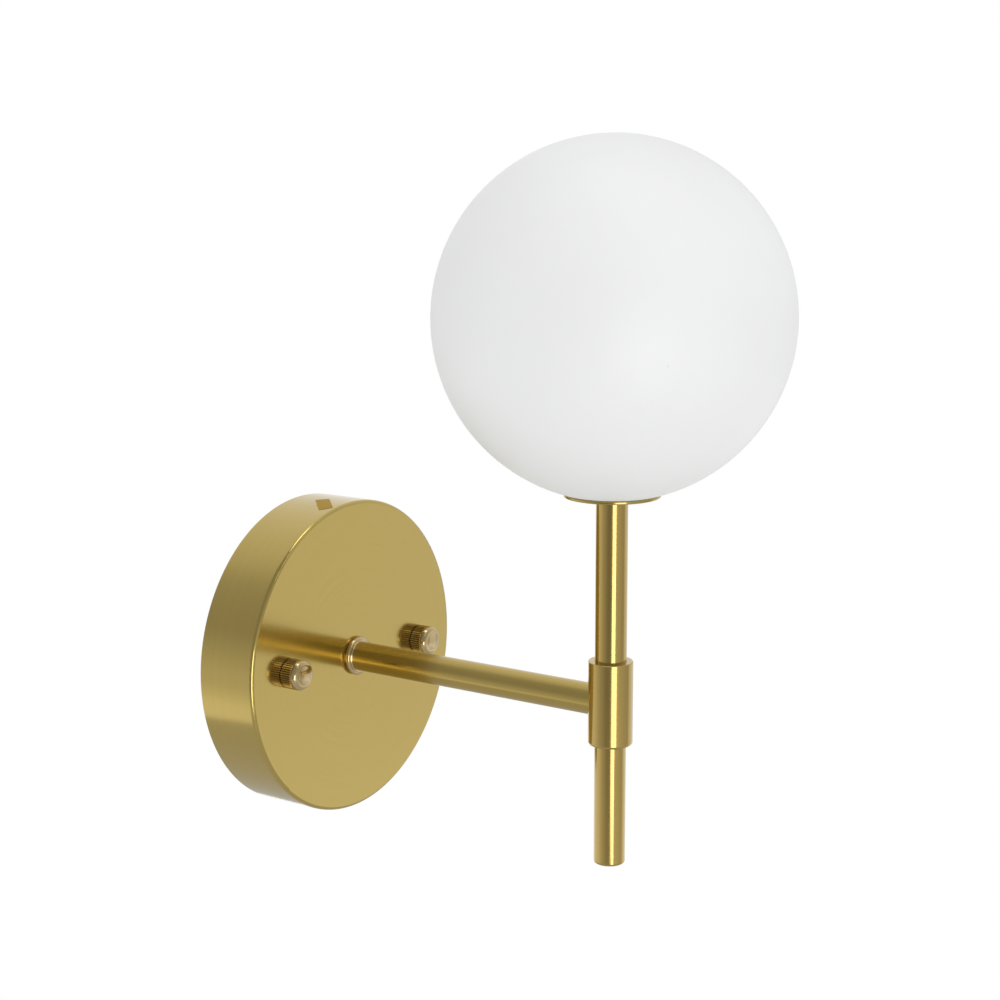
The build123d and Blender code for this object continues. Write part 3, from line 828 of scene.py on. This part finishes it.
# Painted warm light: an amber sheet laid on the canopy's side, over its hole
paintedWarmLight = {
    "length": 0.0162,
    "width": 0.0065,
    "thickness": 0.00006,
    "corner": 0.0006,            # radius of its corners
    "lift": 0.00002,             # between it and the canopy
    "turn": 7.4,                 # its middle, degrees from the top towards -X
    "fromWall": 0.0200,
    "slant": 45,                 # degrees across the side
    "cells": (24, 8),            # faces along and across it
    "colour": (0.375, 0.232, 0.014, 1),
    "reddish": (0.392, 0.196, 0.018, 1),
    "speck": (0.22, 0.13, 0.03, 1),
    "patchShare": 0.5,
    "speckShare": 0.4,
    "grain": 2500.0,
    "roughness": 0.40,
    "roughnessSpread": 0.10,
    "bumpStrength": 0.08,
    "bumpDistance": 0.00005,
}


def makeWarmLightFinish(values):
    # Its amber colour is painted warm light
    material, tree, shader, place = startMaterial("paintedWarmLight")
    marks = useGroup(tree, handling, place, patchScale=120.0, speckScale=900.0, speckSize=0.04)
    fine = noise(tree, place, values["grain"], detail=3.0, roughness=0.6)
    patch = times(tree, marks.outputs["Patch"], values["patchShare"])
    tone = blendColours(tree, patch, values["colour"], values["reddish"])
    tone = addSpecks(tree, marks, tone, values["speck"], values["speckShare"])
    feed(tree, shader.inputs["Base Color"], tone)
    rough = timesPlus(tree, fine, values["roughnessSpread"], values["roughness"])
    feed(tree, shader.inputs["Roughness"], rough)
    bumpFrom(tree, shader, fine, values["bumpStrength"], values["bumpDistance"])
    shader.inputs["Specular IOR Level"].default_value = 0.1
    return material


def makeWarmLightSheet(values):
    # A thin rounded strip of painted warm light laid on the canopy's side, which is a cylinder round the Y
    # axis
    low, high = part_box("canopy")
    underside = (high.z - low.z) / 2 + values["lift"]
    halfLength, halfWidth, corner = values["length"] / 2, values["width"] / 2, values["corner"]
    columns, rows = values["cells"]
    slant = math.radians(values["slant"])
    shape = bmesh.new()

    def pointAt(column, row, height):
        along = values["length"] * column / columns - halfLength
        across = values["width"] * row / rows - halfWidth
        # What lies outside a corner's arc is drawn in to it
        out = max(0, abs(along) - halfLength + corner), max(0, abs(across) - halfWidth + corner)
        reach = math.hypot(*out)
        if reach > corner:
            pull = (reach - corner) / reach
            along -= math.copysign(out[0] * pull, along)
            across -= math.copysign(out[1] * pull, across)
        sideways = along * math.cos(slant) + across * math.sin(slant)
        depth = along * math.sin(slant) - across * math.cos(slant)
        angle = math.radians(values["turn"]) + sideways / underside
        radius = underside + height
        return shape.verts.new((-radius * math.sin(angle), -values["fromWall"] - depth,
                                radius * math.cos(angle)))

    sheets = [[[pointAt(column, row, height) for row in range(rows + 1)] for column in range(columns + 1)]
              for height in (0, values["thickness"])]
    for sheet in sheets:
        for one, two in zip(sheet, sheet[1:]):
            for row in range(rows):
                shape.faces.new((one[row], one[row + 1], two[row + 1], two[row]))
    rim = [(column, 0) for column in range(columns)] + [(columns, row) for row in range(rows)]
    rim += [(column, rows) for column in range(columns, 0, -1)] + [(0, row) for row in range(rows, 0, -1)]
    lower, upper = sheets
    for (c, r), (nextC, nextR) in zip(rim, rim[1:] + rim[:1]):
        shape.faces.new((lower[c][r], lower[nextC][nextR], upper[nextC][nextR], upper[c][r]))
    bmesh.ops.recalc_face_normals(shape, faces=shape.faces)
    warmLightSheet = meshObject("paintedWarmLight", shape)
    warmLightSheet.data.materials.append(makeWarmLightFinish(values))
    settle(warmLightSheet, Matrix.Identity(4))
    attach(warmLightSheet, "fixture")


makeWarmLightSheet(paintedWarmLight)
print("film made")


# Floor, world and lamps
studio = {
    "floorHeight": -0.45,
    "floorRadius": 0.8,
    "floorPaint": (0.82, 0.82, 0.81, 1),
    "floorGlow": 1.10,           # lifts the floor that the camera sees to white
    "floorTone": 0.46,           # the same glow as metal mirrors it
    "glowShare": 0.86,           # the rest is the paint, with the shadows on it
    "ambient": 0.90,             # world light on matt surfaces
    "background": 1.0,
}

# Lamps: each stands at a distance from the point it faces, in a direction from the camera's side. Size in
# metres, how bright its face is, and how far it leans in its own plane
strip = dict(azimuth=16.5, elevation=-10.0, distance=2.20, near=(0, -0.150, 0.0),
             width=0.92, height=1.10, lean=14)
lamps = {
    "stripPanel": dict(strip, brightness=2.6),
    "stripShine": dict(strip, brightness=3.4, shineOnly=True),      # seen in reflections alone
    "sidePanel": dict(azimuth=106.5, elevation=-14.9, distance=0.40, near=(0, -0.030, 0.0),
                      width=0.27, height=0.34, brightness=0.29),
    "overheadPanel": dict(azimuth=60, elevation=80, distance=1.20, near=(0, -0.100, 0.0),
                          width=0.40, height=0.40, brightness=2.5),
}


def isSeen(tree, path):
    # 1 for what the camera sees, straight, mirrored or through glass
    seen = sums(tree, "MAXIMUM", path.outputs["Is Camera Ray"], path.outputs["Is Transmission Ray"])
    return sums(tree, "MAXIMUM", seen, path.outputs["Is Glossy Ray"])


def makeFloor(values):
    shape = bmesh.new()
    bmesh.ops.create_circle(shape, cap_ends=True, segments=96, radius=values["floorRadius"])
    floor = meshObject("floor", shape)
    floor.location = (0, stemAxis.y, values["floorHeight"])
    material = bpy.data.materials.new("floorPaint")
    material.use_nodes = True
    tree = material.node_tree
    shader = tree.nodes["Principled BSDF"]
    shader.inputs["Base Color"].default_value = values["floorPaint"]
    shader.inputs["Roughness"].default_value = 0.9
    shader.inputs["Specular IOR Level"].default_value = 0.1
    # The camera sees the floor lifted to white, and its shadows still darken it a little. Metal mirrors it
    # less bright, as in the photograph, and matt surfaces see the paint alone
    path = addNode(tree, "ShaderNodeLightPath")
    glow = addNode(tree, "ShaderNodeEmission")
    glow.inputs["Color"].default_value = (1, 1, 1, 1)
    lessInMetal = values["floorTone"] - values["floorGlow"]
    feed(tree, glow.inputs["Strength"],
         timesPlus(tree, path.outputs["Is Glossy Ray"], lessInMetal, values["floorGlow"]))
    mixed = addNode(tree, "ShaderNodeMixShader")
    feed(tree, mixed.inputs[0], times(tree, isSeen(tree, path), values["glowShare"]))
    tree.links.new(shader.outputs[0], mixed.inputs[1])
    tree.links.new(glow.outputs[0], mixed.inputs[2])
    tree.links.new(mixed.outputs[0], tree.nodes["Material Output"].inputs["Surface"])
    floor.data.materials.append(material)


# What the metal mirrors: how bright the room is at each angle round the light, in degrees from the
# camera's side, near the horizon and high up
roomTones = {
    "low": ((-180, 0.95), (-150, 0.95), (-120, 0.85), (-98, 0.80), (-76, 0.64), (-60, 0.49), (-44, 0.40),
            (-29, 0.29), (-12, 0.26), (4, 0.36), (24, 0.58), (42, 0.60), (58, 0.58), (75, 0.52), (95, 0.48),
            (118, 0.52), (150, 0.70), (180, 0.95)),
    "high": ((-180, 0.88), (-150, 0.80), (-110, 0.66), (-85, 0.42), (-70, 0.37), (-45, 0.33), (0, 0.33),
             (30, 0.36), (60, 0.45), (100, 0.62), (140, 0.78), (180, 0.88)),
}
# The heights where each row holds, as the sine of the elevation, and what is added low down, over the floor
roomHeights = {"low": -0.16, "high": 0.25, "floorFull": -0.44, "floorEnds": -0.27, "floorAdds": 0.22}


def makeWorld(values):
    world = bpy.data.worlds.new("studio")
    bpy.context.scene.world = world
    world.use_nodes = True
    tree = world.node_tree
    plainLight = tree.nodes["Background"]
    plainLight.inputs["Color"].default_value = (1, 1, 1, 1)
    plainLight.inputs["Strength"].default_value = values["ambient"]
    right, _, back = cameraAxes(cameraPlace)
    where = addNode(tree, "ShaderNodeTexCoord").outputs["Generated"]

    def along(axis):
        node = addNode(tree, "ShaderNodeVectorMath", operation="DOT_PRODUCT")
        feed(tree, node.inputs[0], where)
        node.inputs[1].default_value = axis
        return node.outputs["Value"]

    angle = sums(tree, "ARCTAN2", along((right.x, right.y, 0)), along((back.x, back.y, 0)))
    part = spread(tree, angle, -math.pi, math.pi, 0.0, 1.0)

    def toneRound(name):
        ramp = addNode(tree, "ShaderNodeFloatCurve")
        feed(tree, ramp.inputs["Value"], part)
        curve = ramp.mapping.curves[0]
        first, *rest, last = [((degrees + 180) / 360, tone) for degrees, tone in roomTones[name]]
        curve.points[0].location, curve.points[1].location = first, last
        for spot in rest:
            curve.points.new(*spot)
        ramp.mapping.update()
        return ramp.outputs[0]

    low, high, height = toneRound("low"), toneRound("high"), along((0, 0, 1))
    rise = spread(tree, height, roomHeights["low"], roomHeights["high"], 0.0, 1.0)
    tone = timesPlus(tree, sums(tree, "SUBTRACT", high, low), rise, low)
    overFloor = spread(tree, height, roomHeights["floorFull"], roomHeights["floorEnds"],
                       roomHeights["floorAdds"], 0.0)
    tone = sums(tree, "ADD", tone, overFloor)
    backdrop = addNode(tree, "ShaderNodeBackground")
    backdrop.inputs["Color"].default_value = (1, 1, 1, 1)
    path = addNode(tree, "ShaderNodeLightPath")
    # White, and the room's tone where metal mirrors it
    shown = timesPlus(tree, path.outputs["Is Glossy Ray"], sums(tree, "SUBTRACT", tone, 1.0), 1.0)
    feed(tree, backdrop.inputs["Strength"], times(tree, shown, values["background"]))
    mixed = addNode(tree, "ShaderNodeMixShader")
    feed(tree, mixed.inputs[0], isSeen(tree, path))
    tree.links.new(plainLight.outputs[0], mixed.inputs[1])
    tree.links.new(backdrop.outputs[0], mixed.inputs[2])
    tree.links.new(mixed.outputs[0], tree.nodes["World Output"].inputs["Surface"])


def makeLamp(name, values):
    # A rectangular lamp, placed by its direction from the camera's side and turned to face its point
    away = outward(cameraPlace["azimuth"] + values["azimuth"], values["elevation"])
    data = bpy.data.lights.new(name, "AREA")
    data.shape = "RECTANGLE"
    data.size = values["width"]
    data.size_y = values["height"]
    # A brightness of 1 looks white
    data.energy = values["brightness"] * math.pi * values["width"] * values["height"]
    lamp = addObject(name, data)
    lamp.location = Vector(values["near"]) + away * values["distance"]
    lean = Matrix.Rotation(-math.radians(values.get("lean", 0)), 4, "Z")
    lamp.rotation_euler = (away.to_track_quat("Z", "Y").to_matrix().to_4x4() @ lean).to_euler()
    lamp.visible_camera = False
    lamp.visible_diffuse = not values.get("shineOnly", False)


makeFloor(studio)
makeWorld(studio)
for name, values in lamps.items():
    makeLamp(name, values)
bpy.context.scene.view_settings.view_transform = "Standard"
print("studio lit")
